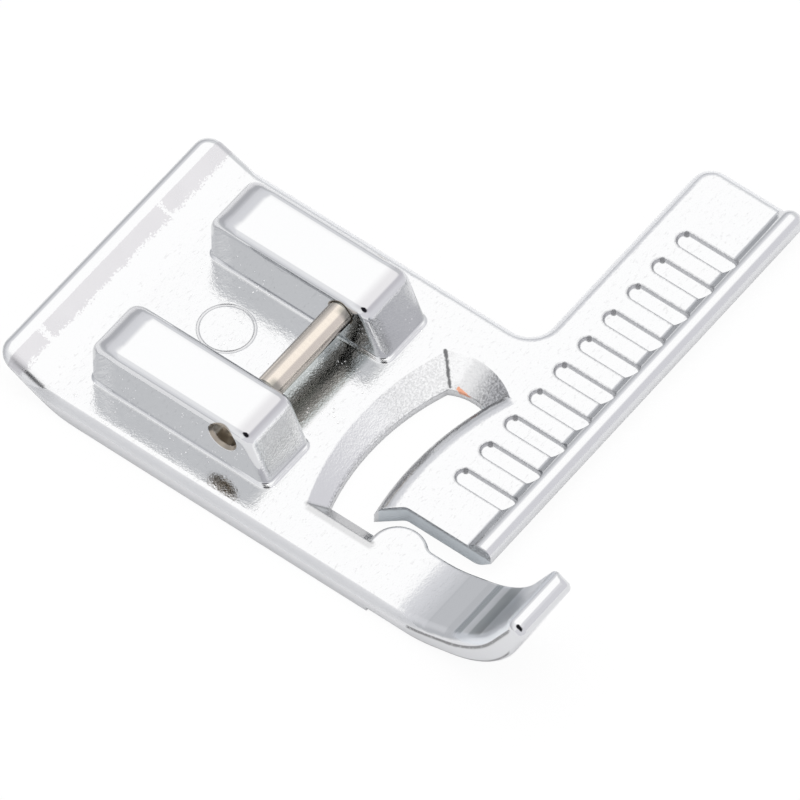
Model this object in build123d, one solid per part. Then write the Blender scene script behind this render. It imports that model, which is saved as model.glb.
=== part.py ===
from build123d import *
from math import cos, radians, sin, sqrt, tan
import os

# Presser foot with a ruler arm, clipped under a sewing machine's ankle by the pin between its bosses.
# Sizes in millimetres. X runs along the ruler, Y towards the back of the foot, Z up from the sole.
# The origin is the point of the sole that lies on the needle's line, in the middle of the slot.

# cast plate
plate_thickness = 1.8
plate_half_width = 13.65
edge_rounding = 0.95
corner_radius = 1.7

# heel, curled up behind the bosses
heel_bend_start = 24.3
heel_bend_radius = 2.5
heel_slope = 22.0
heel_end = 29.85
heel_under_start = 21.6
heel_under_radius = 7.0
heel_under_slope = 27.0

# ruler arm and its rolled front lip
arm_end = 35.95
arm_rear = -2.65
arm_left = -5.0
arm_corner_radius = 1.9
inner_corner_radius = 2.1
plate_front = -7.0
lip_radius = 0.98
lip_centre_y = -11.52
lip_crest = 0.82
lip_slope = 45.0
lip_valley_radius = 0.35
lip_under_start = -10.65
lip_under_radius = 1.5

# measuring grooves, one for each eighth of an inch to the right of the needle
groove_count = 10
groove_pitch = 3.175
groove_width = 1.58
groove_depth = 0.27
groove_floor_slope_width = 0.16
groove_floor_slope_height = 0.22
groove_rear = -5.37
groove_front = -11.1

# needle slot with its flared rim
slot_rim_drop = 1.1
slot_top_left = -9.35
slot_top_right = 9.52
slot_top_corner_left_y = 2.1
slot_top_corner_right = 8.9
slot_top_corner_right_y = 2.3
slot_top_rear = 3.95
slot_rim_left = -8.08
slot_rim_right = 6.95
slot_rim_corner_left_y = 0.85
slot_rim_corner_right = 6.42
slot_rim_corner_right_y = 0.42
slot_rim_rear = 1.85
slot_top_front_right = 8.2
slot_rim_front_right = 6.1
slot_top_front_y = -4.3
slot_crease_rounding = 0.5
slot_wall_radius = 28.0
slot_wall_apex_x = -1.5
slot_wall_apex_y = -1.9
slot_top_right_y = -0.4
slot_rim_right_y = -1.1
slot_rim_rear_x = -0.8

# thread slit between the toe and the ruler
tongue_tip_x = -6.65
tongue_shoulder_y = -4.3
tongue_shoulder_radius = 0.8
bulge_x = -8.62
bulge_y = -6.2
bulge_radius = 2.4
bulge_neck_radius = 0.9
slit_edge_rounding = 0.38

# toe, curled up in front of the needle
toe_inner = -7.1
toe_bend_start = -9.5
toe_bend_radius = 8.5
toe_ramp_slope = 19.5
toe_ramp_end = -14.2
toe_curl_radius = 8.0
toe_tip_slope = 61.3
toe_tip_run = 4.17
toe_tip_radius = 0.9
toe_tip_stock = 0.05
toe_sole_rounding = 0.5
toe_under_start = -10.6
toe_under_radius = 9.0
toe_under_slope = 17.5
toe_under_ramp_end = -15.2
toe_under_curl_radius = 9.5
toe_under_tip_slope = 65.5

# bosses that carry the cross pin
boss_gap = 9.4
boss_width = 5.6
boss_height = 4.96
boss_front = 5.1
boss_front_lean = 2.0
boss_rear = 22.75
boss_front_rounding = 1.3
boss_rear_rounding = 1.6
boss_side_rounding = 0.8
boss_foot_slope = 0.12
boss_root = 0.5

# cross pin
pin_diameter = 2.2
pin_y = 9.6
pin_height = 5.15
pin_clearance = 0.02
pin_recess = 1.0
pin_end_chamfer = 0.2
bore_mouth_diameter = 2.8
bore_mouth_depth = 0.3

# round mark between the bosses
ring_y = 17.2
ring_radius = 2.27
ring_width = 0.22
ring_depth = 0.08

# room above and below the plate that cutters and stock reach to, and how far pieces run into each other
stock = 2 * (plate_thickness + boss_height)
overlap = 1.0


def bend(start, radius, slope, way):
    """End of an arc that leaves a level line at start and rises to slope on the side that way points to."""
    angle = radians(slope)
    return start[0] + way * radius * sin(angle), start[1] + radius * (1 - cos(angle))


def curl(start, radius, slope_from, slope_to, way):
    """Middle and end of an arc that steepens from one slope to another."""
    ends = []
    for slope in ((slope_from + slope_to) / 2, slope_to):
        run = radius * (sin(radians(slope)) - sin(radians(slope_from)))
        rise = radius * (cos(radians(slope_from)) - cos(radians(slope)))
        ends.append((start[0] + way * run, start[1] + rise))
    return ends


def arc_middle(start, radius, slope, way):
    """Middle of the arc that bend ends."""
    return bend(start, radius, slope / 2, way)


def ramp(start, slope, y):
    """Point at y on a line that leaves start at the slope."""
    return y, start[1] + abs(y - start[0]) * tan(radians(slope))


def side_prism(outline, left, right):
    """Solid of a side outline, drawn in Y and Z, between two places on X."""
    face = Plane.YZ * make_face(outline)
    return extrude(Pos(left, 0, 0) * face, amount=right - left, dir=(1, 0, 0))


def heel_top():
    """Upper line of the plate from the needle slot back over the heel."""
    level = (heel_bend_start, plate_thickness)
    bent = bend(level, heel_bend_radius, heel_slope, 1)
    end = ramp(bent, heel_slope, heel_end)
    arc = ThreePointArc(level, arc_middle(level, heel_bend_radius, heel_slope, 1), bent)
    return level, end, [arc, Line(bent, end)]


def lip_top():
    """Upper line of the ruler's rolled lip, from its valley over the crest and down in front."""
    centre = (lip_centre_y, plate_thickness + lip_crest - lip_radius)
    angle = radians(lip_slope)
    leave = (centre[0] + lip_radius * sin(angle), centre[1] + lip_radius * cos(angle))
    valley = (leave[0] + (leave[1] - plate_thickness) / tan(angle), plate_thickness)
    crest = (centre[0] + lip_radius * sin(radians(lip_slope / 2 - 45)),
             centre[1] + lip_radius * cos(radians(lip_slope / 2 - 45)))
    front = (centre[0] - lip_radius, centre[1])
    return valley, leave, crest, front


def rolled_front(rear_y):
    """Side outline of the ruler arm, level at the back and rolled up in front, with a deep foot."""
    valley, leave, crest, nose = lip_top()
    rear = (rear_y, plate_thickness)
    return Curve() + [
        Line(rear, valley),
        Line(valley, leave),
        ThreePointArc(leave, crest, nose),
        Polyline(nose, (nose[0], -stock), (rear_y, -stock), rear),
    ]


def soften_valley(form):
    """Round the inner corner where the ruler's flat top meets the lip."""
    valley_y = lip_top()[0][0]
    edges = form.edges().filter_by(Axis.X).filter_by(
        lambda e: abs(e.center().Y - valley_y) < 0.01 and abs(e.center().Z - plate_thickness) < 0.01)
    return fillet(edges, lip_valley_radius)


def upright_edge(form, x, y):
    """The upright edges of a solid at a place in plan."""
    return form.edges().filter_by(Axis.Z).filter_by(
        lambda e: abs(e.center().X - x) < 0.01 and abs(e.center().Y - y) < 0.01)


def outer_rims(form, left_in):
    """Edges between the upper faces and the outer upright sides, apart from the front ones."""
    uppers = [e for f in form.faces() if f.normal_at().Z > 0.1 for e in f.edges()]
    nose_y = lip_top()[3][0]
    rims = []
    for face in form.faces():
        if abs(face.normal_at().Z) > 0.01:
            continue
        for edge in face.edges():
            box = edge.bounding_box()
            front = box.max.Y < plate_front + 0.01 and box.min.X < plate_half_width - 0.01
            inside = abs(box.max.X - left_in) < 0.01
            if not front and not inside and box.max.Y > nose_y + 0.01 and any(edge == u for u in uppers):
                rims.append(edge)
    return rims


def plate_and_arm():
    """Deep stock of the plate and the ruler arm, with its upper edges rounded."""
    level, end, curve = heel_top()
    front = (plate_front, plate_thickness)
    outline = Curve() + curve + Polyline(
        end, (end[0], -stock), (front[0], -stock), front, level)
    body = side_prism(outline, -plate_half_width, plate_half_width)
    arm_start = plate_half_width - overlap
    form = body + side_prism(rolled_front(arm_rear), arm_start, arm_end)
    form = fillet(upright_edge(form, -plate_half_width, heel_end), corner_radius)
    form = fillet(upright_edge(form, plate_half_width, heel_end), corner_radius)
    form = fillet(upright_edge(form, arm_end, arm_rear), arm_corner_radius)
    form = fillet(upright_edge(form, plate_half_width, arm_rear), inner_corner_radius)
    form = soften_valley(form)
    return fillet(outer_rims(form, arm_start), edge_rounding)


def heel_room():
    """Everything above the underside of the plate and the heel."""
    level = (heel_under_start, 0)
    bent = bend(level, heel_under_radius, heel_under_slope, 1)
    end = ramp(bent, heel_under_slope, heel_end + overlap)
    front = plate_front - overlap
    outline = Curve() + [
        ThreePointArc(level, arc_middle(level, heel_under_radius, heel_under_slope, 1), bent),
        Polyline(bent, end, (end[0], stock), (front, stock), (front, 0), level),
    ]
    side = plate_half_width + overlap
    return side_prism(outline, -side, side + inner_corner_radius)


def arm_room(left):
    """Everything above the underside of the ruler arm and its lip."""
    level = (lip_under_start, 0)
    bent = bend(level, lip_under_radius, lip_slope, -1)
    end = ramp(bent, lip_slope, lip_centre_y - 2 * lip_radius)
    outline = Curve() + [
        ThreePointArc(level, arc_middle(level, lip_under_radius, lip_slope, -1), bent),
        Polyline(bent, end, (end[0], stock), (0, stock), (0, 0), level),
    ]
    return side_prism(outline, left, arm_end + overlap)


def slot_cutter():
    """Space of the needle slot: a flare with slanted sides over an opening with upright ones."""
    front = plate_front - overlap / 2
    top = Curve() + [
        Line((slot_top_left, front), (slot_top_left, slot_top_corner_left_y)),
        ThreePointArc((slot_top_left, slot_top_corner_left_y), (0, slot_top_rear),
                      (slot_top_corner_right, slot_top_corner_right_y)),
        ThreePointArc((slot_top_corner_right, slot_top_corner_right_y), (slot_top_right, slot_top_right_y),
                      (slot_top_front_right, slot_top_front_y)),
        Polyline((slot_top_front_right, slot_top_front_y), (slot_top_front_right, front),
                 (slot_top_left, front)),
    ]
    rim = Curve() + [
        Line((slot_rim_left, front), (slot_rim_left, slot_rim_corner_left_y)),
        ThreePointArc((slot_rim_left, slot_rim_corner_left_y), (slot_rim_rear_x, slot_rim_rear),
                      (slot_rim_corner_right, slot_rim_corner_right_y)),
        ThreePointArc((slot_rim_corner_right, slot_rim_corner_right_y), (slot_rim_right, slot_rim_right_y),
                      (slot_rim_front_right, slot_top_front_y)),
        Polyline((slot_rim_front_right, slot_top_front_y), (slot_rim_front_right, front),
                 (slot_rim_left, front)),
    ]
    top_face = Pos(0, 0, plate_thickness) * make_face(top)
    rim_face = Pos(0, 0, plate_thickness - slot_rim_drop) * make_face(rim)
    flare = loft([rim_face, top_face], ruled=True)
    slanted = flare.edges().filter_by(lambda e: e.bounding_box().size.Z > slot_rim_drop / 2)
    crease = slanted.sort_by_distance((slot_top_corner_right, slot_top_corner_right_y, plate_thickness))[:1]
    flare = fillet(crease, slot_crease_rounding)
    above = extrude(top_face, amount=overlap)
    below = extrude(rim_face, amount=-2 * plate_thickness)
    return flare + above + below


def tongue():
    """The ruler's left end, between the needle slot and the thread slit."""
    right = plate_half_width - overlap / 2
    apex = (slot_wall_apex_x, slot_wall_apex_y)

    def wall_y(x):
        return apex[1] - slot_wall_radius + sqrt(slot_wall_radius ** 2 - (x - apex[0]) ** 2)

    front = lip_centre_y - 2 * lip_radius
    tip = (tongue_tip_x, wall_y(tongue_tip_x))
    wall = ThreePointArc(tip, apex, (right, wall_y(right)))
    shoulder = (arm_left, tongue_shoulder_y)
    plan = make_face(Curve() + [
        wall,
        Polyline((right, wall_y(right)), (right, front), (arm_left, front), shoulder, tip),
    ])
    corner = plan.vertices().sort_by_distance((arm_left, tongue_shoulder_y, 0))[:1]
    plan = fillet(corner, tongue_shoulder_radius)
    left = tongue_tip_x - overlap
    body = soften_valley(side_prism(rolled_front(apex[1] + overlap), left, right))
    body = body & extrude(Pos(0, 0, -stock) * plan, amount=2 * stock)
    top_wall = body.edges().filter_by(GeomType.CIRCLE).filter_by(
        lambda e: abs(e.center().Z - plate_thickness) < 0.01).sort_by(SortBy.LENGTH)[-1:]
    body = fillet(top_wall, edge_rounding)
    return body & arm_room(left)


def toe_plan(front):
    """The toe seen from above: a straight strip with the round bulge beside the thread slit."""
    rear = bulge_y + bulge_radius
    middle = (front + rear) / 2
    strip = Pos((toe_inner - plate_half_width) / 2, middle) * Rectangle(toe_inner + plate_half_width, rear - front)
    bulge = Pos(bulge_x, bulge_y) * Circle(bulge_radius)
    neck = Pos(bulge_x + bulge_radius, bulge_y + bulge_radius) * Rectangle(2 * bulge_radius, 2 * bulge_radius)
    plan = strip - neck + bulge
    meeting_y = bulge_y - sqrt(bulge_radius ** 2 - (toe_inner - bulge_x) ** 2)
    corner = plan.vertices().sort_by_distance((toe_inner, meeting_y, 0))[0]
    return fillet(corner, bulge_neck_radius)


def toe_rims(strip, outer):
    """Edges between the toe's top and its upright sides, on the outer side or along the thread slit."""
    uppers = [e for f in strip.faces() if f.normal_at().Z > 0.1 and f.normal_at().Y > -0.01 for e in f.edges()]
    rims = []
    for face in strip.faces():
        level = abs(face.normal_at().Z) > 0.01
        across = abs(face.normal_at().Y) > 0.999
        at_left = face.center().X < -plate_half_width + 0.01
        if level or across or at_left != outer:
            continue
        for edge in face.edges():
            size = edge.bounding_box().size
            if any(edge == u for u in uppers) and size.Y > 0.1:
                rims.append(edge)
    return rims


def toe_soles(strip):
    """Long edges of the toe's curled underside, on both of its sides."""
    unders = [f for f in strip.faces() if f.normal_at().Z < -0.05 and f.center().Y < toe_under_start]
    edges = []
    for edge in [e for f in unders for e in f.edges()]:
        size = edge.bounding_box().size
        if size.X < 0.01 and size.Y > 0.1 and edge not in edges:
            edges.append(edge)
    return edges


def toe():
    """The strip at the left that runs forward and curls up, with the round bulge beside the slit."""
    level = (toe_bend_start, plate_thickness)
    bent = bend(level, toe_bend_radius, toe_ramp_slope, -1)
    ramp_end = ramp(bent, toe_ramp_slope, toe_ramp_end)
    curl_middle, curl_end = curl(ramp_end, toe_curl_radius, toe_ramp_slope, toe_tip_slope, -1)
    slope = radians(toe_tip_slope)
    thickness = 2 * (toe_tip_radius + toe_tip_stock)
    end_top = (curl_end[0] - toe_tip_run * cos(slope), curl_end[1] + toe_tip_run * sin(slope))
    end_under = (end_top[0] - thickness * sin(slope), end_top[1] - thickness * cos(slope))

    under_level = (toe_under_start, 0)
    under_bent = bend(under_level, toe_under_radius, toe_under_slope, -1)
    under_ramp = ramp(under_bent, toe_under_slope, toe_under_ramp_end)
    under_middle, under_end = curl(
        under_ramp, toe_under_curl_radius, toe_under_slope, toe_under_tip_slope, -1)
    rear = bulge_y + bulge_radius
    outline = Curve() + [
        Line((rear, plate_thickness), level),
        ThreePointArc(level, arc_middle(level, toe_bend_radius, toe_ramp_slope, -1), bent),
        Line(bent, ramp_end),
        ThreePointArc(ramp_end, curl_middle, curl_end),
        Polyline(curl_end, end_top, end_under, under_end),
        ThreePointArc(under_end, under_middle, under_ramp),
        Line(under_ramp, under_bent),
        ThreePointArc(under_bent, arc_middle(under_level, toe_under_radius, toe_under_slope, -1), under_level),
        Polyline(under_level, (rear, 0), (rear, plate_thickness)),
    ]
    strip = side_prism(outline, -plate_half_width, bulge_x + bulge_radius + overlap)
    strip = strip & extrude(Pos(0, 0, -stock) * toe_plan(end_under[0] - overlap), amount=2 * stock)
    strip = fillet(toe_rims(strip, outer=True), edge_rounding)
    tip = strip.faces().filter_by(lambda f: f.normal_at().Z > 0.1 and f.normal_at().Y < -0.1)
    strip = fillet(tip.sort_by(Axis.Z)[-1].edges(), toe_tip_radius)
    strip = fillet(toe_rims(strip, outer=False), slit_edge_rounding)
    return fillet(toe_soles(strip), toe_sole_rounding)


def bore_line(x):
    """Place on the pin's line, with its own Z along the pin."""
    return Pos(x, pin_y, pin_height) * Rot(0, 90, 0)


def boss(side):
    """One of the two blocks that carry the pin, on the side that the sign gives."""
    inner = boss_gap / 2
    outer = inner + boss_width
    top = plate_thickness + boss_height
    foot = plate_thickness - boss_root
    outline = Polyline(
        (boss_front, foot), (boss_front, plate_thickness),
        (boss_front + boss_front_lean, top), (boss_rear, top), (boss_rear, foot), close=True)
    left, right = sorted((side * inner, side * outer))
    block = side_prism(outline, left, right)
    across = block.edges().filter_by(Axis.X).filter_by(lambda e: abs(e.center().Z - top) < 0.01)
    block = fillet(across.sort_by(Axis.Y)[0], boss_front_rounding)
    across = block.edges().filter_by(Axis.X).filter_by(
        lambda e: abs(e.center().Z - top) < 0.01 and abs(e.center().Y - boss_rear) < 0.01)
    block = fillet(across, boss_rear_rounding)
    sides = [e for f in block.faces().filter_by(Axis.X) for e in f.edges() if e.center().Z > foot + 0.01]
    return fillet(sides, boss_side_rounding)


def groove(number):
    """Cutter for one measuring groove, with a flat floor and sloping sides."""
    length = groove_rear - groove_front
    outline = SlotOverall(length, groove_width, rotation=90)
    place = Pos(number * groove_pitch, (groove_rear + groove_front) / 2, plate_thickness - groove_depth)
    cutter = extrude(place * outline, amount=2 * lip_crest)
    floor = cutter.faces().sort_by(Axis.Z)[0]
    return chamfer(floor.edges(), groove_floor_slope_width, groove_floor_slope_height, reference=floor)


def bore():
    """Cutter for the pin's bore through both bosses, with its rounded mouths."""
    reach = boss_gap / 2 + boss_width
    bore_radius = pin_diameter / 2 + pin_clearance
    cutter = bore_line(0) * Cylinder(bore_radius, 2 * (reach + overlap))
    for side in (-1, 1):
        mouth = Cone(bore_radius, bore_mouth_diameter / 2, bore_mouth_depth)
        lie = Rot(0, 90 * side, 0)
        cutter += Pos(side * (reach - bore_mouth_depth / 2), pin_y, pin_height) * lie * mouth
    return cutter


def ring_mark():
    """Cutter for the thin round mark in the plate between the bosses."""
    outer = Cylinder(ring_radius + ring_width / 2, 2 * ring_depth)
    inner = Cylinder(ring_radius - ring_width / 2, 2 * ring_depth)
    return Pos(0, ring_y, plate_thickness) * (outer - inner)


def foot_casting():
    """The whole foot below the pin, cast in one piece."""
    casting = plate_and_arm() & (heel_room() + arm_room(plate_half_width - 2 * overlap))
    casting = casting - slot_cutter()
    casting = casting + tongue()
    casting = casting + toe()
    for number in range(groove_count):
        casting = casting - groove(number)
    casting = casting - ring_mark()
    casting = casting + boss(-1) + boss(1)
    feet = casting.edges().filter_by(
        lambda e: abs(e.bounding_box().max.Z - plate_thickness) < 0.01
        and abs(e.bounding_box().min.Z - plate_thickness) < 0.01
        and boss_front - 0.01 < e.bounding_box().min.Y
        and boss_gap / 2 - 0.01 < abs(e.center().X) < boss_gap / 2 + boss_width + 0.01)
    casting = chamfer(feet, boss_foot_slope)
    return casting - bore()


def cross_pin():
    """The round steel pin, pressed through both bosses with its ends a little inside them."""
    length = 2 * (boss_gap / 2 + boss_width - pin_recess)
    pin = bore_line(0) * Cylinder(pin_diameter / 2, length)
    return chamfer(pin.edges().filter_by(GeomType.CIRCLE), pin_end_chamfer)


if __name__ == "__main__":
    os.makedirs("parts", exist_ok=True)
    pieces = {"foot_casting": foot_casting(), "cross_pin": cross_pin()}
    for name, piece in pieces.items():
        piece.label = name
        export_step(piece, f"parts/{name}.step")
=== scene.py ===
from math import cos, radians, sin

import bpy
from mathutils import Matrix, Vector

# Studio picture of a chrome-plated presser foot. Metres, in the part's own frame:
# X along the ruler, Y towards the back of the foot, Z up from the sole.

MM = 0.001

# camera, at the photograph's angle
CAMERA_AZIMUTH = -52.58
CAMERA_ELEVATION = 54.484
CAMERA_LOOKS_AT = Vector((3.795, 3.0701, 0.0)) * MM
CAMERA_DISTANCE = 1.24611
CAMERA_LENS = 720.0
CAMERA_SENSOR = 36.0
CAMERA_NEAR = 0.05
CAMERA_FAR = 20

# studio
SOFTBOX = 1.5
FLOOR_SIZE = 3.0
FLOOR_GAP = 0.02 * MM
PAPER = 0.93
PAPER_GLOW = 0.93
LAMP_SIZE = 0.9
LAMP_HEIGHT = 0.9
LAMP_POWER = 1.5
WHITE = (1, 1, 1, 1)

# what the plating mirrors, as red, green and blue from 0 to 255
OVERHEAD = (255, 254, 253)
FAR_RIGHT = (208, 209, 210)
LEFT = (228, 228, 229)
BACK = (212, 212, 215)
FAR_BACK = (180, 181, 184)
HORIZON_BACK = (208, 208, 209)
FRONT = (208, 207, 211)
CAMERA_BODY = (30, 30, 34)

# where each of them starts and ends: a slope away from straight up, for the horizon the height
# of the direction, and for the camera the cosine of the angle from it
FAR_RIGHT_AT = (0.85, 1.3)
LEFT_AT = (-0.3, -0.46)
BACK_AT = (0.5, 0.85)
FAR_BACK_AT = (0.9, 2.2)
FRONT_AT = (-0.42, -0.8)
HORIZON_AT = (0.16, 0.03)
CAMERA_BODY_AT = (0.925, 0.955)
LOWEST_HEIGHT = 0.001

# places on the part, in millimetres
BOSS_HALF_GAP = 4.7
PIN_CENTRE = (0.0, 9.6, 5.15)
PIN_END = 9.0
MARK_CENTRE = (0.0, 17.2, 0.0)
MARK_RING = (2.17, 2.3, 0.06)
GROOVE_PITCH = 3.175
GROOVE_HALF = 0.79
GROOVE_REAR = -6.16
GROOVE_FRONT = -10.31
GROOVE_DOT = (0.6, -5.8, 0.0)
SLOT_WALL_RADIUS = 28.0
SLOT_WALL_CENTRE = (-1.5, -29.9, 0.0)

# regions of the casting, in millimetres: lowest, highest and the soft width outside them
SLOT_FLARE = {"x": (-9.5, 9.7, 0.2), "y": (-3.4, 4.1, 0.3), "z": (0.7, 1.74, 0.05)}
FLARE_END = {"x": (6.8, 9.9, 0.1), "y": (-4.5, 2.5, 0.1), "z": (0.62, 1.78, 0.03)}
FLARE_FRONT = {"x": (-9.3, -7.6, 0.1), "y": (-4.3, 0.4, 0.3), "z": (0.5, 1.72, 0.05)}
FLARE_LIMIT = {"x": (-9.0, 7.4, 0.2), "y": (-1.5, 2.6, 0.3), "z": (0.62, 0.78, 0.1)}
BESIDE_FLARE = {"x": (-9.75, -9.35, 0.3), "y": (-4.2, 1.6, 0.5)}
TONGUE = {"x": (-6.0, 7.7, 0.5), "y": (-5.4, -1.6, 0.4)}
SLIT = {"x": (-8.2, 8.0, 0.05), "y": (-12.4, -2.7, 0.1)}
UNDER_PIN = {"x": (-BOSS_HALF_GAP, BOSS_HALF_GAP, 0.05), "y": (6.9, 9.7, 0.6)}
TOE_CREASE = {"x": (-13.62, -13.58, 0.03), "y": (-20.6, -11.0, 0.3)}
TOE_BANDS = ((-15.35, -14.95, 0.2), (-17.2, -16.3, 0.3))
HEEL_GAPS = ((6.6, 6.9, 0.1), (-8.5, -8.1, 0.1))
GROOVE_ROW = {"x": (-0.9, 29.6, 0.05)}
GROOVE_LEVEL = {"z": (1.4, 2.3, 0.1)}
BOSS_ROW = {"y": (4.7, 23.1, 0.1)}
PIT_ROW = {"y": (5.0, 23.0, 0.5)}
SLOT_CREASE = ((8.7, 2.35, 0.0), (6.75, 0.45, 0.0))
SLOT_SOFT_CREASES = (((-9.4, 2.0, 0.0), (-8.4, 0.9, 0.0)), ((-9.35, 2.0, 0.0), (-9.3, -4.2, 0.0)))
COPPER_SPOT = ((6.96, -0.25, 0.0), (6.8, -1.5, 0.0))

# soft steps in height, in millimetres
BELOW_BOSSES = (2.3, 1.9)
ABOVE_SOLE = (0.4, 0.5)
ABOVE_PLATE = (1.7, 1.75)
PLATE_ROUNDING = (1.0, 1.72, 0.06)
FRONT_FACE_FOOT = (2.2, 2.5)
BOSS_FOOT = (1.85, 2.3)
BOSS_TOP = (5.6, 6.3)
BELOW_BOSS_TOP = (5.4, 5.0)
SLIT_TOP = (2.6, 2.3)
SLIT_LINE = (1.35, 1.6)
HEEL_STRIP_LEVEL = (2.1, 2.2)
BORE_LEVEL = (2.2, 2.4)
MARK_LEVEL = (1.6, 1.9, 0.05)
COPPER_LEVEL = (0.5, 0.84, 0.03)

# soft steps along the foot, in millimetres
BEHIND_SLOT = (4.0, 4.5)
BOSS_FRONT_START = (4.0, 4.8)
BOSS_TOP_FRONT = (8.9, 7.9)
BOSS_TOP_REAR = (20.6, 21.6)
HEEL_STRIP_FRONT = (25.6, 25.7)
HEEL_STRIP_REAR = (28.4, 28.3)
HEEL_CURL = (23.0, 24.5)
LIP_START = (-10.9, -11.1)
TOE_CURL = (-14.6, -15.4)
BOSS_FRONT_FALLS = (6.4, 9.4)
BOSS_REAR_FALLS = (20.0, 22.2)
TOE_FALLS = (-8.4, -12.6)
FLARE_SHADE = (1.2, 0.6)
FLARE_DARK = (0.2, -1.8)

# soft steps across the foot, in millimetres
LEFT_BOSS = (0.0, -0.1)
RIGHT_BOSS_FACE = (11.6, 11.4)
BOSS_FACE = (10.29, 10.25)
PAST_BOSS_FACE = (10.6, 10.5)
BOSS_INNER_FALLS = (4.9, 6.1)
BOSS_OUTER_FALLS = (8.9, 10.1)
PIN_SHADE = (3.7, 4.3)
PIN_SHADE_FRONT = (9.7, 9.1)
FLARE_GRAIN_START = (0.5, 2.5)
HEEL_LEFT = (-12.4, -12.9)
TOE_LEFT = (-13.1, -12.7)
TOE_RIGHT = (-5.9, -6.2)
LIP_LEFT = (-5.2, -5.0)

# soft steps in distance from a line or a centre, in millimetres
BORE_WALL = (1.27, 1.2)
BORE_MOUTH = (1.45, 1.38)
GROOVE_DOT_EDGE = (0.3, 0.16)
CREASE_EDGE = (0.42, 0.26)
SOFT_CREASE_EDGE = (0.5, 0.1)
COPPER_EDGE = (0.34, 0.26)
TONGUE_LINE = (0.62, 0.8, 0.14)
TONGUE_EDGE = (0.6, 0.3)
TONGUE_FALLS = (1.5, 0.1)

# soft steps in the facing of the surface, from -1 to 1 along an axis
UPRIGHT = (0.35, 0.15)
FACING_UP = (0.9, 0.95)
MOSTLY_UP = (0.7, 0.9)
HALF_UP = (0.3, 0.5)
LEANING_UP = (0.15, 0.4)
NOT_LEVEL = (0.97, 0.92)
FACING_FRONT = (-0.7, -0.85)
CURLED_BACK = (0.3, 0.4)
HALF_CURLED_BACK = (0.2, 0.35)
FACING_FAR = (0.1, 0.3)
TONGUE_FACING = (-0.3, -0.2)
FLARE_GRAIN_FACING = (-0.36, -0.26)
FLARE_END_FACING = (-0.25, -0.35)

# noises: scale per millimetre, detail and roughness
CLOUD = (1.1, 4.0, 0.7)
SPECKLE = (5.0, 3.0, 0.7)
PIT_PATCH = (0.4, 2.0, 0.5)
CREASE_RAGGED = (2.4, 3.0, 0.7)
CURL_DRAWN = (3.0, 3.0, 0.6)
TONGUE_DRAWN = (2.2, 3.0, 0.6)
FLECK_DRAWN = (3.4, 4.0, 0.75)
POLISH = (0.4, 2.0, 0.6)
WAVES = (1.6, 3.0, 0.6)
GRAIN = (6.0, 3.0, 0.6)
PIN_TURNING = (1.0, 3.0, 0.6)

# where a noise starts and stops to show, with the least and most it then gives if not 0 and 1
MIDDLE = (0.3, 0.7)
PATCH_SHOWS = (0.5, 0.6)
FLECK_SHOWS = (0.57, 0.66)
UNDER_PIN_SPECKLE = (0.3, 0.45)
SLIT_LINE_SPECKLE = (0.3, 0.55)
FLARE_LIMIT_SPECKLE = (0.4, 0.6)
FLARE_GRAIN_SPECKLE = (0.38, 0.6)
FLARE_DARK_SPECKLE = (0.4, 0.6, 0.3, 1.0)
GROOVE_SPECKLE = (0.35, 0.6, 0.3, 1.0)
TONGUE_EDGE_STREAKS = (0.35, 0.6, 0.4, 0.9)
TOE_CREASE_SPECKLE = (0.3, 0.48, 0.35, 1.0)
BRIGHT_FRONT_SPECKLE = (0.35, 0.6, 1.0, 0.75)

# how far a noise is drawn out along each axis: below 1 lengthens its marks, above 1 shortens them
CURL_STRETCH = (0.12, 1.0, 1.0)
TONGUE_STRETCH = (0.4, 2.2, 2.2)
FLECK_STRETCH = (0.45, 1.0, 1.0)
PIN_STRETCH = (12.0, 1.0, 1.0)

# surface detail
EDGE_SOFTNESS = 0.12 * MM
BEVEL_SAMPLES = 6
RELIEF = 0.02 * MM
BOSS_SIDE_DROP = 0.1
BOSS_FRONT_DROP = 0.24
BOSS_REAR_DROP = 0.27
TONGUE_DROP = 0.24
TOE_RISE = 0.2
PIT_SCALE = 3.2
PIT_RARITY = 0.72
PIT_EDGE = (0.5, 0.4)
GROOVE_SHADE_HALF = 0.06
GROOVE_SHADE_SOFT = 0.16
GROOVE_DOT_SHARE = 1.8

# finishes, and colours of painted shade, shadow, highlights, glints, sheen and reflections
CHROME = (0.655, 0.662, 0.672, 1)
RUBBED_CHROME = (0.545, 0.54, 0.56, 1)
# painted highlight: lighter colour for the plate's rounded upper edge where it faces the far side
PAINTED_EDGE_HIGHLIGHT = (0.90, 0.905, 0.91, 1)
FLECK = (0.42, 0.42, 0.43, 1)
# painted shade: dark speckled patch on the plate under the pin
PAINTED_UNDER_PIN_SHADE = (0.26, 0.29, 0.29, 1)
# painted sheen: lighter, bluer colour for the toe's curl where it faces back
PAINTED_CURL_SHEEN = (0.71, 0.735, 0.765, 1)
# painted shade: greyer front and rear ends of the bosses' tops
PAINTED_BOSS_END_SHADE = (0.50, 0.495, 0.515, 1)
# painted reflection: two dark bands across the toe's curl
PAINTED_CURL_REFLECTION = (0.24, 0.27, 0.28, 1)
# painted shade: blue-grey darkening of the thread slit's upright walls
PAINTED_SLIT_SHADE = (0.53, 0.575, 0.61, 1)
# painted reflection: dark streaks along the tongue's rear edge and the top of the slit's walls
PAINTED_EDGE_REFLECTION = (0.16, 0.16, 0.17, 1)
# painted shade: dark line along the crease at the toe's left edge
PAINTED_TOE_EDGE_SHADE = (0.16, 0.16, 0.16, 1)
# painted shade: dark outline of the measuring grooves and a dark dot at their rear ends
PAINTED_GROOVE_SHADE = (0.24, 0.24, 0.25, 1)
# painted shade: grey line in the ring of the round mark
PAINTED_RING_SHADE = (0.34, 0.34, 0.35, 1)
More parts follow.
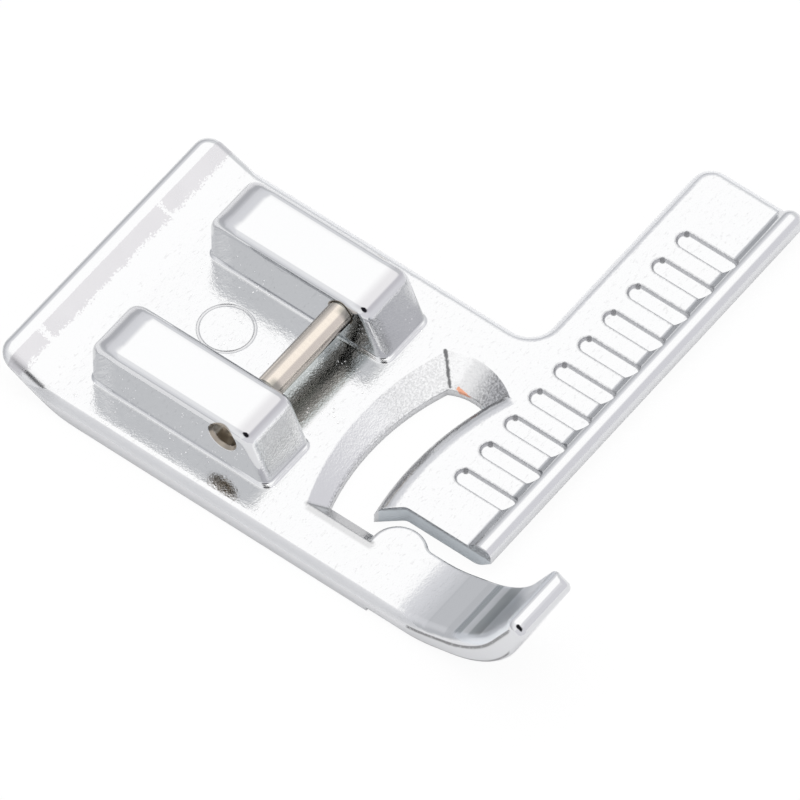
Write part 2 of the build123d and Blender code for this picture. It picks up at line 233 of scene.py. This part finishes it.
# painted shade: near-black in the flare's creases, greyer along its rim, front and right end and beside it
PAINTED_FLARE_SHADE = (0.04, 0.04, 0.045, 1)
# painted shadow: dark brown in the pin's bores and their mouths
PAINTED_BORE_SHADOW = (0.36, 0.32, 0.27, 1)
# painted light: lighter, speckled front face of the near boss
PAINTED_BOSS_FRONT_LIGHT = (0.97, 0.98, 0.97, 1)
# painted glint: white colour on the pits
PAINTED_PIT_GLINT = (1.0, 1.0, 1.0, 1)
COPPER = (0.62, 0.26, 0.14, 1)
STEEL_DARK = (0.62, 0.565, 0.505, 1)
STEEL_LIGHT = (0.66, 0.605, 0.54, 1)
# painted shade: dark front side of the pin near the bosses and a dark ring where it enters them
PAINTED_PIN_SHADE = (0.22, 0.22, 0.20, 1)
STEEL_END = (0.66, 0.62, 0.55, 1)


def linear_light(value):
    """Linear light for a grey written as 0 to 255."""
    part = value / 255
    return part / 12.92 if part <= 0.04045 else ((part + 0.055) / 1.055) ** 2.4


def linear_colour(red, green, blue):
    """Linear colour for one written as three numbers from 0 to 255."""
    return linear_light(red), linear_light(green), linear_light(blue), 1.0


def camera_back():
    """Direction from the part towards the camera."""
    azimuth = radians(CAMERA_AZIMUTH)
    elevation = radians(CAMERA_ELEVATION)
    return Vector((sin(azimuth) * cos(elevation), -cos(azimuth) * cos(elevation), sin(elevation)))


class Tree:
    """Short calls for adding nodes to one node tree."""

    def __init__(self, tree):
        self.tree = tree
        self.nodes = tree.nodes
        self.links = tree.links

    def add(self, kind, **values):
        node = self.nodes.new(kind)
        for name, value in values.items():
            setattr(node, name, value)
        return node

    def put(self, value, socket):
        """Links a socket or writes a number or colour."""
        if isinstance(value, bpy.types.NodeSocket):
            self.links.new(value, socket)
        else:
            socket.default_value = value

    def math(self, operation, a, b=0.0, clamp=False):
        node = self.add("ShaderNodeMath", operation=operation, use_clamp=clamp)
        self.put(a, node.inputs[0])
        self.put(b, node.inputs[1])
        return node.outputs[0]

    def chain(self, operation, values):
        """One operation carried along a row of values."""
        result = values[0]
        for value in values[1:]:
            result = self.math(operation, result, value)
        return result

    def times(self, *values):
        """Product of the values."""
        return self.chain("MULTIPLY", values)

    def plus(self, *values):
        """Sum of the values."""
        return self.chain("ADD", values)

    def most(self, *values):
        """Largest of the values."""
        return self.chain("MAXIMUM", values)

    def vector(self, operation, a, b=(0, 0, 0)):
        node = self.add("ShaderNodeVectorMath", operation=operation)
        self.put(a, node.inputs[0])
        self.put(b, node.inputs[1])
        gives_number = operation in ("DOT_PRODUCT", "DISTANCE")
        return node.outputs["Value" if gives_number else "Vector"]

    def scaled(self, vector, factor):
        node = self.add("ShaderNodeVectorMath", operation="SCALE")
        self.put(vector, node.inputs[0])
        self.put(factor, node.inputs["Scale"])
        return node.outputs["Vector"]

    def step(self, value, low, high, start=0.0, end=1.0):
        """Soft step from start to end as the value goes from low to high."""
        node = self.add("ShaderNodeMapRange", interpolation_type="SMOOTHSTEP")
        self.put(value, node.inputs["Value"])
        self.put(low, node.inputs["From Min"])
        self.put(high, node.inputs["From Max"])
        self.put(start, node.inputs["To Min"])
        self.put(end, node.inputs["To Max"])
        return node.outputs["Result"]

    def mix(self, share, a, b):
        """Colour that goes from a to b as the share goes from 0 to 1."""
        node = self.add("ShaderNodeMix", data_type="RGBA")
        self.put(share, node.inputs["Factor"])
        self.put(a, node.inputs[6])
        self.put(b, node.inputs[7])
        return node.outputs[2]

    def between(self, value, low, high, soft):
        """Share that is 1 between two places and falls to 0 over a soft width outside them."""
        return self.times(self.step(value, low - soft, low), self.step(value, high + soft, high))

    def split(self, vector):
        node = self.add("ShaderNodeSeparateXYZ")
        self.put(vector, node.inputs[0])
        return node.outputs

    def join(self, x, y, z):
        node = self.add("ShaderNodeCombineXYZ")
        for value, socket in zip((x, y, z), node.inputs):
            self.put(value, socket)
        return node.outputs[0]

    def near_line(self, place, start, end):
        """Distance of a place from the line between two points."""
        line = Vector(end) - Vector(start)
        from_start = self.vector("SUBTRACT", place, start)
        along = self.vector("DOT_PRODUCT", from_start, tuple(line))
        share = self.math("DIVIDE", along, line.length_squared, clamp=True)
        return self.vector("DISTANCE", from_start, self.scaled(tuple(line), share))

    def stretched(self, place, stretch):
        """Place multiplied by one number along each axis."""
        return self.vector("MULTIPLY", place, stretch)

    def noise(self, place, scale, detail, roughness):
        node = self.add("ShaderNodeTexNoise")
        self.put(place, node.inputs["Vector"])
        self.put(scale, node.inputs["Scale"])
        self.put(detail, node.inputs["Detail"])
        self.put(roughness, node.inputs["Roughness"])
        return node.outputs["Fac"]


def build_world():
    """White overhead light, greyer towards the back, the front and the left, with the dark camera in it."""
    world = bpy.data.worlds.new("studio")
    bpy.context.scene.world = world
    world.use_nodes = True
    world.node_tree.nodes.clear()
    t = Tree(world.node_tree)
    way = t.vector("NORMALIZE", t.add("ShaderNodeTexCoord").outputs["Generated"])
    x, y, z = t.split(way)
    height = t.math("MAXIMUM", z, LOWEST_HEIGHT)
    across = t.math("DIVIDE", x, height)
    along = t.math("DIVIDE", y, height)

    back = t.mix(t.step(along, *FAR_BACK_AT), linear_colour(*BACK), linear_colour(*FAR_BACK))
    back = t.mix(t.step(z, *HORIZON_AT), back, linear_colour(*HORIZON_BACK))
    colour = t.mix(t.step(across, *FAR_RIGHT_AT), linear_colour(*OVERHEAD), linear_colour(*FAR_RIGHT))
    colour = t.mix(t.step(across, *LEFT_AT), colour, linear_colour(*LEFT))
    colour = t.mix(t.step(along, *BACK_AT), colour, back)
    colour = t.mix(t.step(along, *FRONT_AT), colour, linear_colour(*FRONT))
    near_camera = t.vector("DOT_PRODUCT", way, tuple(camera_back()))
    colour = t.mix(t.step(near_camera, *CAMERA_BODY_AT), colour, linear_colour(*CAMERA_BODY))

    lit = t.add("ShaderNodeBackground")
    t.put(colour, lit.inputs["Color"])
    lit.inputs["Strength"].default_value = SOFTBOX
    plain = t.add("ShaderNodeBackground")
    plain.inputs["Color"].default_value = WHITE
    pick = t.add("ShaderNodeMixShader")
    rays = t.add("ShaderNodeLightPath")
    t.put(rays.outputs["Is Camera Ray"], pick.inputs[0])
    t.put(lit.outputs[0], pick.inputs[1])
    t.put(plain.outputs[0], pick.inputs[2])
    out = t.add("ShaderNodeOutputWorld")
    t.put(pick.outputs[0], out.inputs["Surface"])


def build_lamp():
    """Wide soft lamp overhead, which lights the paper but isn't mirrored."""
    data = bpy.data.lights.new("soft_lamp", "AREA")
    data.shape = "DISK"
    data.size = LAMP_SIZE
    data.energy = LAMP_POWER
    lamp = bpy.data.objects.new("soft_lamp", data)
    lamp.location = (0, 0, LAMP_HEIGHT)
    lamp.visible_glossy = False
    lamp.visible_camera = False
    bpy.context.scene.collection.objects.link(lamp)


def paper_material():
    """Pale paper that is plain white to the camera but for the part's faint shadow."""
    paper = bpy.data.materials.new("paper")
    paper.use_nodes = True
    paper.node_tree.nodes.clear()
    t = Tree(paper.node_tree)
    diffuse = t.add("ShaderNodeBsdfDiffuse")
    diffuse.inputs["Color"].default_value = (PAPER, PAPER, PAPER, 1)
    glow = t.add("ShaderNodeEmission")
    glow.inputs["Color"].default_value = WHITE
    rays = t.add("ShaderNodeLightPath")
    pick = t.add("ShaderNodeMixShader")
    t.put(t.times(rays.outputs["Is Camera Ray"], PAPER_GLOW), pick.inputs[0])
    t.put(diffuse.outputs[0], pick.inputs[1])
    t.put(glow.outputs[0], pick.inputs[2])
    out = t.add("ShaderNodeOutputMaterial")
    t.put(pick.outputs[0], out.inputs["Surface"])
    return paper


def build_floor():
    """Square of paper a hair below the sole."""
    side = FLOOR_SIZE / 2
    corners = [(-side, -side, 0), (side, -side, 0), (side, side, 0), (-side, side, 0)]
    mesh = bpy.data.meshes.new("floor")
    mesh.from_pydata(corners, [], [(0, 1, 2, 3)])
    mesh.materials.append(paper_material())
    floor = bpy.data.objects.new("floor", mesh)
    floor.location.z = -FLOOR_GAP
    bpy.context.scene.collection.objects.link(floor)


def new_material(name):
    """Empty metal material with its tree, its place in millimetres and its shader."""
    material = bpy.data.materials.new(name)
    material.use_nodes = True
    material.node_tree.nodes.clear()
    t = Tree(material.node_tree)
    place = t.scaled(t.add("ShaderNodeTexCoord").outputs["Object"], 1 / MM)
    shader = t.add("ShaderNodeBsdfPrincipled")
    shader.inputs["Metallic"].default_value = 1.0
    out = t.add("ShaderNodeOutputMaterial")
    t.put(shader.outputs[0], out.inputs["Surface"])
    return material, t, place, shader


class Casting:
    """The casting's surface as masks from 0 to 1, worked out from place in millimetres, facing and noise."""

    def __init__(self, t, place):
        self.t = t
        self.place = place
        self.x, self.y, self.z = t.split(place)
        self.side = t.math("ABSOLUTE", self.x)
        self.flat = t.join(self.x, self.y, 0.0)
        facing = t.add("ShaderNodeTexCoord").outputs["Normal"]
        self.facing_x, self.facing_y, self.facing_z = t.split(facing)
        self.cloud = t.noise(place, *CLOUD)
        self.speckle = t.noise(place, *SPECKLE)
        self.low = t.step(self.z, *BELOW_BOSSES)
        self.upper = t.times(self.low, t.step(self.z, *ABOVE_SOLE))
        self.into_tongue = self.depth_into_tongue()
        self.flare = self.inside(SLOT_FLARE)
        self.tongue = t.times(self.inside(TONGUE), self.upper, t.step(self.facing_x, *TONGUE_FACING))
        self.plate_edge = self.mask_plate_edge()
        self.boss_front = self.mask_boss_front()
        self.slit_wall = self.mask_slit_wall()
        self.pit = self.mask_pits()
        self.strip = self.mask_heel_strip()
        # toe's curl where it faces back: duller polish, and a painted sheen in its colour
        self.dull_curl_and_sheen = t.times(t.step(self.y, *TOE_CURL), t.step(self.facing_y, *CURLED_BACK))
        # outline of the grooves: painted shade in the colour and a rougher polish
        self.seam = self.mask_groove_rims()
        self.bore = self.mask_bores()

    def inside(self, region):
        """Share that is 1 inside a region and falls to 0 outside it."""
        places = {"x": self.x, "y": self.y, "z": self.z}
        return self.t.times(*(self.t.between(places[axis], *limits) for axis, limits in region.items()))

    def depth_into_tongue(self):
        """Distance in front of the slot's round front wall, in millimetres."""
        from_centre = self.t.vector("DISTANCE", self.flat, SLOT_WALL_CENTRE)
        return self.t.math("SUBTRACT", SLOT_WALL_RADIUS, from_centre)

    def mask_plate_edge(self):
        """Rounded upper edge of the plate, but not the slot's flare."""
        t = self.t
        sloping = t.times(t.step(self.facing_z, *LEANING_UP), t.step(self.facing_z, *NOT_LEVEL))
        return t.times(t.between(self.z, *PLATE_ROUNDING), sloping, t.step(self.flare, 0.5, 0.0))

    def mask_boss_front(self):
        """Leaning front faces of both bosses."""
        t = self.t
        leaning = t.times(t.step(self.z, *FRONT_FACE_FOOT), t.step(self.facing_y, *FACING_FRONT))
        return t.times(leaning, t.step(self.y, *BOSS_FRONT_START))

    def mask_slit_wall(self):
        """Upright walls of the thread slit."""
        t = self.t
        upright = t.step(t.math("ABSOLUTE", self.facing_z), *UPRIGHT)
        return t.times(upright, self.inside(SLIT), t.step(self.z, *SLIT_TOP))

    def mask_pits(self):
        """Rare pits on the bosses' walls and beside them, dented into the relief and painted with a bright
        glint.
        """
        t = self.t
        cells = t.add("ShaderNodeTexVoronoi")
        t.put(self.place, cells.inputs["Vector"])
        cells.inputs["Scale"].default_value = PIT_SCALE
        luck = t.add("ShaderNodeSeparateColor")
        t.put(cells.outputs["Color"], luck.inputs[0])
        centre = t.step(t.plus(cells.outputs["Distance"], t.times(self.speckle, 0.4)), *PIT_EDGE)
        chosen = t.step(luck.outputs[0], PIT_RARITY, PIT_RARITY + 0.02)
        patch = t.step(t.noise(self.place, *PIT_PATCH), *PATCH_SHOWS)
        walls = t.times(t.step(self.z, *BELOW_BOSS_TOP), t.step(self.z, *ABOVE_PLATE))
        walls = t.times(walls, t.step(self.x, *RIGHT_BOSS_FACE))
        return t.times(centre, chosen, patch, walls, self.inside(PIT_ROW))

    def mask_heel_strip(self):
        """Rubbed strip along the heel, ragged in front and broken in two places."""
        t = self.t
        ragged = t.plus(t.times(self.speckle, 1.6), t.times(self.cloud, 0.9))
        front = t.step(t.math("SUBTRACT", self.y, ragged), *HEEL_STRIP_FRONT)
        rear = t.step(t.plus(self.y, t.times(self.speckle, 0.2)), *HEEL_STRIP_REAR)
        across = t.plus(self.x, ragged)
        gap = t.plus(*(t.between(across, *limits) for limits in HEEL_GAPS))
        on_top = t.times(t.step(self.z, *HEEL_STRIP_LEVEL), t.step(self.facing_z, *HALF_UP))
        return t.times(front, rear, t.step(gap, 0.6, 0.4), on_top)

    def mask_groove_rims(self):
        """Painted shade along the outline of the measuring grooves, broken up by speckle, with a painted dark
        dot of shade at the rear end of each.
        """
        t = self.t
        nearest = t.times(t.math("ROUND", t.math("DIVIDE", self.x, GROOVE_PITCH)), GROOVE_PITCH)
        lane = t.math("SUBTRACT", self.x, nearest)
        within = t.math("MINIMUM", t.math("MAXIMUM", self.y, GROOVE_FRONT), GROOVE_REAR)
        ends = t.math("SUBTRACT", self.y, within)
        from_middle = t.math("SQRT", t.plus(t.times(lane, lane), t.times(ends, ends)))
        inner = GROOVE_HALF - GROOVE_SHADE_HALF
        outline = t.between(from_middle, inner, GROOVE_HALF + GROOVE_SHADE_HALF, GROOVE_SHADE_SOFT)
        in_row = self.inside(GROOVE_ROW)
        worn = t.step(self.speckle, *GROOVE_SPECKLE)
        seam = t.times(outline, in_row, self.inside(GROOVE_LEVEL), worn)
        dot = t.step(t.vector("DISTANCE", t.join(lane, self.y, 0.0), GROOVE_DOT), *GROOVE_DOT_EDGE)
        return t.most(seam, t.times(dot, in_row, self.upper, GROOVE_DOT_SHARE))

    def mask_bores(self):
        """Walls of the pin's bores and their wider mouths in the bosses' outer faces."""
        t = self.t
        from_pin = t.vector("DISTANCE", t.join(0.0, self.y, self.z), PIN_CENTRE)
        wall = t.times(t.step(from_pin, *BORE_WALL), t.step(self.z, *BORE_LEVEL))
        mouth = t.times(t.step(from_pin, *BORE_MOUTH), t.step(self.side, *BOSS_FACE))
        return t.most(wall, t.times(mouth, t.step(self.side, PIN_END, PIN_END + 0.1)))

    def mask_boss_end_shade(self):
        """Painted shade on the front and rear ends of the bosses' tops."""
        t = self.t
        ends = t.most(t.step(self.y, *BOSS_TOP_FRONT, 0.0, 0.75), t.step(self.y, *BOSS_TOP_REAR, 0.0, 0.5))
        on_top = t.times(t.step(self.z, *BOSS_TOP), t.step(self.facing_z, *MOSTLY_UP))
        return t.times(ends, t.step(self.y, *BEHIND_SLOT), on_top)

    def mask_curl_reflection_bands(self):
        """Two bands of painted dark reflection drawn across the toe's curl."""
        t = self.t
        drawn = t.noise(t.stretched(self.place, CURL_STRETCH), *CURL_DRAWN)
        along = t.plus(self.y, t.times(drawn, 0.2))
        bands = t.most(*(t.between(along, *limits) for limits in TOE_BANDS))
        return t.times(bands, t.step(self.facing_y, *HALF_CURLED_BACK), t.step(self.x, *TOE_LEFT))

    def mask_flare_shade_and_grain(self):
        """Painted shade in the creases of the needle slot's flare, along its rim, front and right end and
        beside it, and the flare's grain.
        """
        t = self.t
        ragged = t.times(t.noise(self.place, *CREASE_RAGGED), 0.4)
        crease = t.step(t.plus(t.near_line(self.flat, *SLOT_CREASE), ragged), *CREASE_EDGE)
        first, second = (t.near_line(self.flat, *line) for line in SLOT_SOFT_CREASES)
        soft_crease = t.plus(t.math("MINIMUM", first, second), t.times(self.speckle, 0.3))
        limit = t.times(self.inside(FLARE_LIMIT), t.step(self.speckle, *FLARE_LIMIT_SPECKLE))
        grain = t.times(t.step(self.x, *FLARE_GRAIN_START), t.step(self.facing_x, *FLARE_GRAIN_FACING))
        grain = t.times(self.flare, grain, t.step(self.speckle, *FLARE_GRAIN_SPECKLE))
        darkest = t.most(
            t.times(crease, 0.85),
            t.times(t.step(soft_crease, *SOFT_CREASE_EDGE), 0.45),
            t.times(limit, 0.3),
            t.times(self.inside(FLARE_FRONT), 0.3),
            t.times(self.inside(BESIDE_FLARE), 0.22),
            t.times(grain, 0.2),
            self.mask_flare_end_shade(),
        )
        return t.times(darkest, self.upper)

    def mask_flare_end_shade(self):
        """Painted shade on the grey right end of the flare, darker and speckled towards its front corner."""
        t = self.t
        corner = t.plus(self.y, t.times(self.cloud, 1.6))
        dark = t.times(t.step(corner, *FLARE_DARK), t.step(self.speckle, *FLARE_DARK_SPECKLE), 0.5)
        shade = t.plus(t.times(t.step(corner, *FLARE_SHADE), 0.16), dark)
        return t.times(t.step(self.facing_x, *FLARE_END_FACING), self.inside(FLARE_END), shade)

    def mask_edge_reflection_streaks(self):
        """Painted dark reflection drawn in streaks along the tongue's rear edge and the top of the slit's
        walls.
        """
        t = self.t
        drawn = t.noise(t.stretched(self.place, TONGUE_STRETCH), *TONGUE_DRAWN)
        line = t.between(t.plus(self.into_tongue, t.times(drawn, 0.5)), *TONGUE_LINE)
        edge = t.times(t.step(self.into_tongue, *TONGUE_EDGE), t.step(drawn, *TONGUE_EDGE_STREAKS))
        slit_line = t.times(self.slit_wall, t.step(self.z, *SLIT_LINE))
        slit_line = t.times(slit_line, t.step(self.speckle, *SLIT_LINE_SPECKLE))
        return t.most(t.times(self.tongue, t.most(line, edge)), slit_line)

    def mask_copper(self):
        """Small spot on the slot's rim where copper shows through the plating."""
        t = self.t
        spot = t.plus(t.near_line(self.flat, *COPPER_SPOT), t.times(self.speckle, 0.3))
        return t.times(t.step(spot, *COPPER_EDGE), t.between(self.z, *COPPER_LEVEL))

    def mask_mark_ring_shade(self):
        """Painted shade in the ring of the round mark between the bosses."""
        t = self.t
        from_mark = t.vector("DISTANCE", self.flat, MARK_CENTRE)
        return t.times(t.between(from_mark, *MARK_RING), t.between(self.z, *MARK_LEVEL))

    def mask_flecks(self):
        """Fine flecks on the plate's upper side, drawn out along the ruler."""
        t = self.t
        flecks = t.noise(t.stretched(self.place, FLECK_STRETCH), *FLECK_DRAWN)
        return t.times(t.step(flecks, *FLECK_SHOWS), self.low, t.step(self.facing_z, *FACING_UP))


def chrome_colour(cast):
    """Plating from its plain colour through each mark that lies on it, and through painted shade, shadow,
    highlights, glints, sheen and reflections.
    """
    t = cast.t
    far_edge_highlight = t.times(cast.plate_edge, t.step(t.plus(cast.facing_x, cast.facing_y), *FACING_FAR))
    under_pin_shade = t.times(cast.inside(UNDER_PIN), cast.upper, t.step(cast.speckle, *UNDER_PIN_SPECKLE))
    toe_edge_shade = t.times(cast.inside(TOE_CREASE), t.step(cast.speckle, *TOE_CREASE_SPECKLE))
    # painted light on the near boss's front face
    boss_front_highlight = t.times(cast.boss_front, t.step(cast.x, *LEFT_BOSS))
    boss_front_highlight = t.times(boss_front_highlight, t.step(cast.speckle, *BRIGHT_FRONT_SPECKLE))
    layers = (
        (cast.strip, 0.85, RUBBED_CHROME),
        # painted highlight on the rounded plate edge that faces the far side
        (far_edge_highlight, 0.8, PAINTED_EDGE_HIGHLIGHT),
        (cast.mask_flecks(), 0.3, FLECK),
        # painted shade on the plate under the pin
        (under_pin_shade, 0.75, PAINTED_UNDER_PIN_SHADE),
        # painted sheen on the back-facing curl of the toe
        (cast.dull_curl_and_sheen, 0.9, PAINTED_CURL_SHEEN),
        # painted shade on the ends of the bosses' tops
        (cast.mask_boss_end_shade(), 1.0, PAINTED_BOSS_END_SHADE),
        # painted dark reflection bands on the toe's curl
        (cast.mask_curl_reflection_bands(), 0.62, PAINTED_CURL_REFLECTION),
        # painted shade on the slit's upright walls
        (cast.slit_wall, 0.8, PAINTED_SLIT_SHADE),
        # painted dark reflection along the tongue's edge and the slit's top
        (cast.mask_edge_reflection_streaks(), 0.75, PAINTED_EDGE_REFLECTION),
        # painted shade along the toe's left edge
        (toe_edge_shade, 0.85, PAINTED_TOE_EDGE_SHADE),
        # painted shade along the grooves' outlines
        (cast.seam, 0.28, PAINTED_GROOVE_SHADE),
        # painted shade in the round mark's ring
        (cast.mask_mark_ring_shade(), 0.3, PAINTED_RING_SHADE),
        # painted shade of the needle slot's flare, with its grain
        (cast.mask_flare_shade_and_grain(), 1.0, PAINTED_FLARE_SHADE),
        # painted shadow in the bores, which are also rougher
        (cast.bore, 1.0, PAINTED_BORE_SHADOW),
        # painted light on the near boss's front face
        (boss_front_highlight, 0.9, PAINTED_BOSS_FRONT_LIGHT),
        # painted glint on the pits
        (cast.pit, 1.0, PAINTED_PIT_GLINT),
        (cast.mask_copper(), 0.85, COPPER),
    )
    colour = CHROME
    for mask, strength, finish in layers:
        colour = t.mix(t.times(mask, strength), colour, finish)
    return colour


def chrome_roughness(cast):
    """Polish that varies a little, and is duller where the plating was rubbed or stayed cast."""
    t = cast.t
    heel_corner = t.times(t.step(cast.y, *HEEL_CURL), t.step(cast.x, *HEEL_LEFT))
    lip = t.times(t.step(cast.y, *LIP_START), t.step(cast.x, *LIP_LEFT))
    return t.plus(
        t.step(t.noise(cast.place, *POLISH), *MIDDLE, 0.04, 0.08),
        t.times(cast.strip, 0.2),
        t.times(cast.flare, 0.06),
        t.times(t.most(cast.bore, cast.dull_curl_and_sheen), 0.25),
        t.times(cast.boss_front, 0.14),
        t.times(t.most(cast.plate_edge, cast.seam), 0.4),
        t.times(heel_corner, 0.2),
        t.times(lip, 0.1),
    )


def falling_edges(cast):
    """Height in millimetres that bends the bosses' tops, the tongue's rear edge and the toe's start."""
    t = cast.t
    inner_side = t.step(cast.side, *BOSS_INNER_FALLS, -BOSS_SIDE_DROP, 0.0)
    outer_side = t.step(cast.side, *BOSS_OUTER_FALLS, 0.0, -BOSS_SIDE_DROP)
    rear_end = t.step(cast.y, *BOSS_REAR_FALLS, 0.0, -BOSS_REAR_DROP)
    front_end = t.step(cast.y, *BOSS_FRONT_FALLS, -BOSS_FRONT_DROP, 0.0)
    on_bosses = t.times(t.step(cast.z, *BOSS_FOOT), cast.inside(BOSS_ROW), t.step(cast.side, *PAST_BOSS_FACE))
    bosses = t.times(t.plus(inner_side, outer_side, rear_end, front_end), on_bosses)
    tongue = t.times(t.step(cast.into_tongue, *TONGUE_FALLS), cast.tongue, -TONGUE_DROP)
    toe = t.times(t.step(cast.y, *TOE_FALLS, 0.0, TOE_RISE), t.step(cast.x, *TOE_RIGHT))
    return t.plus(bosses, tongue, toe)


def cast_relief(cast):
    """Waves, grain and pits of the cast surface under the plating, as shares of the relief's depth."""
    t = cast.t
    rugged = t.most(cast.low, cast.boss_front)
    wave = t.times(t.noise(cast.place, *WAVES), t.plus(t.times(rugged, 0.8), 0.06))
    coarse = t.plus(t.times(rugged, 0.6), t.times(t.most(cast.flare, cast.boss_front), 0.45))
    grain = t.times(t.noise(cast.place, *GRAIN), coarse)
    return t.math("SUBTRACT", t.plus(wave, grain), cast.pit)


def chrome_material():
    """Bright chrome plating over a cast surface, uneven under the polish, dull where it was rubbed, and with
    painted light and shade in its colour.
    """
    material, t, place, shader = new_material("chrome_plating")
    cast = Casting(t, place)
    t.put(chrome_colour(cast), shader.inputs["Base Color"])
    t.put(chrome_roughness(cast), shader.inputs["Roughness"])
    worn = t.add("ShaderNodeBevel", samples=BEVEL_SAMPLES)
    worn.inputs["Radius"].default_value = EDGE_SOFTNESS
    normal = worn.outputs[0]
    for height, depth in ((falling_edges(cast), MM), (cast_relief(cast), RELIEF)):
        bump = t.add("ShaderNodeBump")
        bump.inputs["Strength"].default_value = 1.0
        bump.inputs["Distance"].default_value = depth
        t.put(height, bump.inputs["Height"])
        t.put(normal, bump.inputs["Normal"])
        normal = bump.outputs[0]
    t.put(normal, shader.inputs["Normal"])
    return material


def pin_material():
    """Warm steel of the cross pin, with fine rings from turning and painted shade beside the bosses."""
    material, t, place, shader = new_material("pin_steel")
    x, y, _ = t.split(place)
    side = t.math("ABSOLUTE", x)
    rings = t.step(t.noise(t.stretched(place, PIN_STRETCH), *PIN_TURNING), *MIDDLE)
    front_shade = t.times(t.step(side, *PIN_SHADE, 0.0, 0.75), t.step(y, *PIN_SHADE_FRONT))
    # painted shade on the pin beside the bosses
    near_boss_shade = t.most(front_shade, t.step(side, BOSS_HALF_GAP - 0.12, BOSS_HALF_GAP - 0.06))
    near_boss_shade = t.times(near_boss_shade, t.step(side, BOSS_HALF_GAP + 0.1, BOSS_HALF_GAP + 0.05))
    colour = t.mix(rings, STEEL_DARK, STEEL_LIGHT)
    colour = t.mix(near_boss_shade, colour, PAINTED_PIN_SHADE)
    colour = t.mix(t.step(side, PIN_END, PIN_END + 0.2), colour, STEEL_END)
    t.put(colour, shader.inputs["Base Color"])
    t.put(t.plus(t.times(rings, 0.04), 0.15), shader.inputs["Roughness"])
    return material


def dress(node, material):
    """Gives a CAD node's slots the material."""
    if not node.material_slots:
        node.data.materials.append(material)
    for slot in node.material_slots:
        slot.link = "OBJECT"
        slot.material = material


def build_camera():
    """Camera at the photograph's angle, far off with a long lens."""
    back = camera_back()
    right = Vector((0, 0, 1)).cross(back).normalized()
    turn = Matrix((right, back.cross(right), back)).transposed().to_4x4()
    data = bpy.data.cameras.new("camera")
    data.lens = CAMERA_LENS
    data.sensor_width = CAMERA_SENSOR
    data.clip_start = CAMERA_NEAR
    data.clip_end = CAMERA_FAR
    camera = bpy.data.objects.new("camera", data)
    camera.matrix_world = Matrix.Translation(CAMERA_LOOKS_AT + CAMERA_DISTANCE * back) @ turn
    bpy.context.scene.collection.objects.link(camera)
    bpy.context.scene.camera = camera


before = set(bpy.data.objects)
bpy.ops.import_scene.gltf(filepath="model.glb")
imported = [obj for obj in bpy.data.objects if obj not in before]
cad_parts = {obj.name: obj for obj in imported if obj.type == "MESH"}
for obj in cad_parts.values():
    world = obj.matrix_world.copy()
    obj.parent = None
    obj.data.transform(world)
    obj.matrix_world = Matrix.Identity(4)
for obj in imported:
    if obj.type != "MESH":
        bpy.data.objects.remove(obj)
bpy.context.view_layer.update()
bpy.context.scene.view_settings.view_transform = "Standard"
build_camera()
build_world()
build_floor()
build_lamp()
dress(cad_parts["foot_casting"], chrome_material())
dress(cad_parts["cross_pin"], pin_material())
